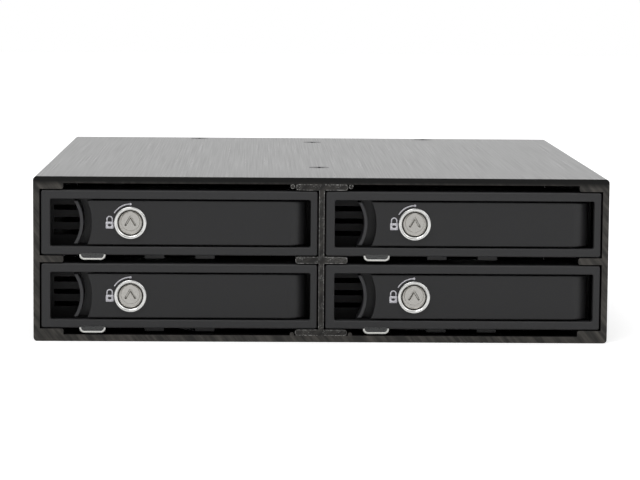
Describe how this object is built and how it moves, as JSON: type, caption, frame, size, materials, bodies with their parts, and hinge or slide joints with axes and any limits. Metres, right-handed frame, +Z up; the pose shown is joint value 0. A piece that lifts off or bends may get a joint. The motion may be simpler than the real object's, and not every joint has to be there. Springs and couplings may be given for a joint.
{
  "type": "hot swap drive cage",
  "caption": "Low metal cage with a grid of pull-out drive trays, each with a hinged lever, crescent finger latch and round key lock",
  "frame": {"origin": "middle of the housing's underside, half-way along the housing", "axes": "+X across the front to the right, +Y to the rear, +Z up; the trays pull out along -Y"},
  "size_m": [0.146, 0.1617, 0.042],
  "materials": {
    "anodised_aluminium": "black anodised extrusion, brushed along its length",
    "black_screw": "black oxide steel",
    "green_board": "solder-masked glass laminate",
    "connector_black": "moulded connector nylon",
    "panel_steel": "zinc plated sheet",
    "spacer_brass": "turned brass, nickel tint",
    "fan_black": "glass-filled moulding",
    "screw_steel": "zinc plated",
    "bezel_plastic": "fine textured moulding",
    "lever_plastic": "fine textured moulding",
    "latch_plastic": "fine textured moulding",
    "pin_steel": "ground pin",
    "spring_steel": "drawn wire",
    "lock_chrome": "bright plated ring",
    "lock_nickel": "satin nickel die casting",
    "tray_steel": "zinc plated sheet",
    "clear_pipe": "clear polycarbonate",
    "lamp": "clear lens over a chip"
  },
  "bodies": {
    "cage": {"housing": "anodised_aluminium", "divider": "anodised_aluminium", "cage_screws": "black_screw", "backplane": "green_board", "drive_receptacles": "connector_black", "status_leds": "lamp", "rear_panel": "panel_steel", "spacers": "spacer_brass", "spacer_screws": "screw_steel", "data_ports": "connector_black", "power_ports": "connector_black", "fan_frame_left": "fan_black", "fan_frame_right": "fan_black", "fan_screws": "screw_steel"},
    "left_fan": {"fan_rotor_left": "fan_black"},
    "right_fan": {"fan_rotor_right": "fan_black"},
    "tray_upper_left": {"bezel_upper_left": "bezel_plastic", "tray_pan_upper_left": "tray_steel", "tray_screws_upper_left": "screw_steel", "lever_pin_upper_left": "pin_steel", "latch_spring_upper_left": "spring_steel", "light_pipe_upper_left": "clear_pipe"},
    "lever_upper_left": {"lever_upper_left": "lever_plastic", "lock_barrel_upper_left": "lock_chrome"},
    "latch_upper_left": {"release_latch_upper_left": "latch_plastic"},
    "lock_upper_left": {"lock_plug_upper_left": "lock_nickel", "lock_cam_upper_left": "lock_nickel"},
    "tray_upper_right": {"bezel_upper_right": "bezel_plastic", "tray_pan_upper_right": "tray_steel", "tray_screws_upper_right": "screw_steel", "lever_pin_upper_right": "pin_steel", "latch_spring_upper_right": "spring_steel", "light_pipe_upper_right": "clear_pipe"},
    "lever_upper_right": {"lever_upper_right": "lever_plastic", "lock_barrel_upper_right": "lock_chrome"},
    "latch_upper_right": {"release_latch_upper_right": "latch_plastic"},
    "lock_upper_right": {"lock_plug_upper_right": "lock_nickel", "lock_cam_upper_right": "lock_nickel"},
    "tray_lower_left": {"bezel_lower_left": "bezel_plastic", "tray_pan_lower_left": "tray_steel", "tray_screws_lower_left": "screw_steel", "lever_pin_lower_left": "pin_steel", "latch_spring_lower_left": "spring_steel", "light_pipe_lower_left": "clear_pipe"},
    "lever_lower_left": {"lever_lower_left": "lever_plastic", "lock_barrel_lower_left": "lock_chrome"},
    "latch_lower_left": {"release_latch_lower_left": "latch_plastic"},
    "lock_lower_left": {"lock_plug_lower_left": "lock_nickel", "lock_cam_lower_left": "lock_nickel"},
    "tray_lower_right": {"bezel_lower_right": "bezel_plastic", "tray_pan_lower_right": "tray_steel", "tray_screws_lower_right": "screw_steel", "lever_pin_lower_right": "pin_steel", "latch_spring_lower_right": "spring_steel", "light_pipe_lower_right": "clear_pipe"},
    "lever_lower_right": {"lever_lower_right": "lever_plastic", "lock_barrel_lower_right": "lock_chrome"},
    "latch_lower_right": {"release_latch_lower_right": "latch_plastic"},
    "lock_lower_right": {"lock_plug_lower_right": "lock_nickel", "lock_cam_lower_right": "lock_nickel"}
  },
  "joints": [
    {"name": "left_fan_spin", "type": "hinge", "parent": "cage", "child": "left_fan", "pos_m": [-0.05, 0.08, 0.021], "axis": [0, 1, 0], "continuous": true},
    {"name": "right_fan_spin", "type": "hinge", "parent": "cage", "child": "right_fan", "pos_m": [0.05, 0.08, 0.021], "axis": [0, 1, 0], "continuous": true},
    {"name": "upper_left_tray_slide", "type": "slide", "parent": "cage", "child": "tray_upper_left", "axis": [0, -1, 0], "range_m": [0, 0.136]},
    {"name": "upper_left_lever_hinge", "type": "hinge", "parent": "tray_upper_left", "child": "lever_upper_left", "pos_m": [-0.00874, -0.0696, 0.0303], "axis": [0, 0, 1], "range_deg": [0, 60]},
    {"name": "upper_left_latch_slide", "type": "slide", "parent": "tray_upper_left", "child": "latch_upper_left", "axis": [1, 0, 0], "range_m": [0, 0.0012], "stiffness_N_per_m": 300, "springref_m": -0.001, "deforming": ["latch_spring_upper_left"]},
    {"name": "upper_left_lock_turn", "type": "hinge", "parent": "lever_upper_left", "child": "lock_upper_left", "pos_m": [-0.04844, -0.075, 0.03025], "axis": [0, -1, 0], "range_deg": [0, 90]},
    {"name": "upper_right_tray_slide", "type": "slide", "parent": "cage", "child": "tray_upper_right", "axis": [0, -1, 0], "range_m": [0, 0.136]},
    {"name": "upper_right_lever_hinge", "type": "hinge", "parent": "tray_upper_right", "child": "lever_upper_right", "pos_m": [0.06334, -0.0696, 0.0303], "axis": [0, 0, 1], "range_deg": [0, 60]},
    {"name": "upper_right_latch_slide", "type": "slide", "parent": "tray_upper_right", "child": "latch_upper_right", "axis": [1, 0, 0], "range_m": [0, 0.0012], "stiffness_N_per_m": 300, "springref_m": -0.001, "deforming": ["latch_spring_upper_right"]},
    {"name": "upper_right_lock_turn", "type": "hinge", "parent": "lever_upper_right", "child": "lock_upper_right", "pos_m": [0.02364, -0.075, 0.03025], "axis": [0, -1, 0], "range_deg": [0, 90]},
    {"name": "lower_left_tray_slide", "type": "slide", "parent": "cage", "child": "tray_lower_left", "axis": [0, -1, 0], "range_m": [0, 0.136]},
    {"name": "lower_left_lever_hinge", "type": "hinge", "parent": "tray_lower_left", "child": "lever_lower_left", "pos_m": [-0.00874, -0.0696, 0.01165], "axis": [0, 0, 1], "range_deg": [0, 60]},
    {"name": "lower_left_latch_slide", "type": "slide", "parent": "tray_lower_left", "child": "latch_lower_left", "axis": [1, 0, 0], "range_m": [0, 0.0012], "stiffness_N_per_m": 300, "springref_m": -0.001, "deforming": ["latch_spring_lower_left"]},
    {"name": "lower_left_lock_turn", "type": "hinge", "parent": "lever_lower_left", "child": "lock_lower_left", "pos_m": [-0.04844, -0.075, 0.0116], "axis": [0, -1, 0], "range_deg": [0, 90]},
    {"name": "lower_right_tray_slide", "type": "slide", "parent": "cage", "child": "tray_lower_right", "axis": [0, -1, 0], "range_m": [0, 0.136]},
    {"name": "lower_right_lever_hinge", "type": "hinge", "parent": "tray_lower_right", "child": "lever_lower_right", "pos_m": [0.06334, -0.0696, 0.01165], "axis": [0, 0, 1], "range_deg": [0, 60]},
    {"name": "lower_right_latch_slide", "type": "slide", "parent": "tray_lower_right", "child": "latch_lower_right", "axis": [1, 0, 0], "range_m": [0, 0.0012], "stiffness_N_per_m": 300, "springref_m": -0.001, "deforming": ["latch_spring_lower_right"]},
    {"name": "lower_right_lock_turn", "type": "hinge", "parent": "lever_lower_right", "child": "lock_lower_right", "pos_m": [0.02364, -0.075, 0.0116], "axis": [0, -1, 0], "range_deg": [0, 90]}
  ]
}
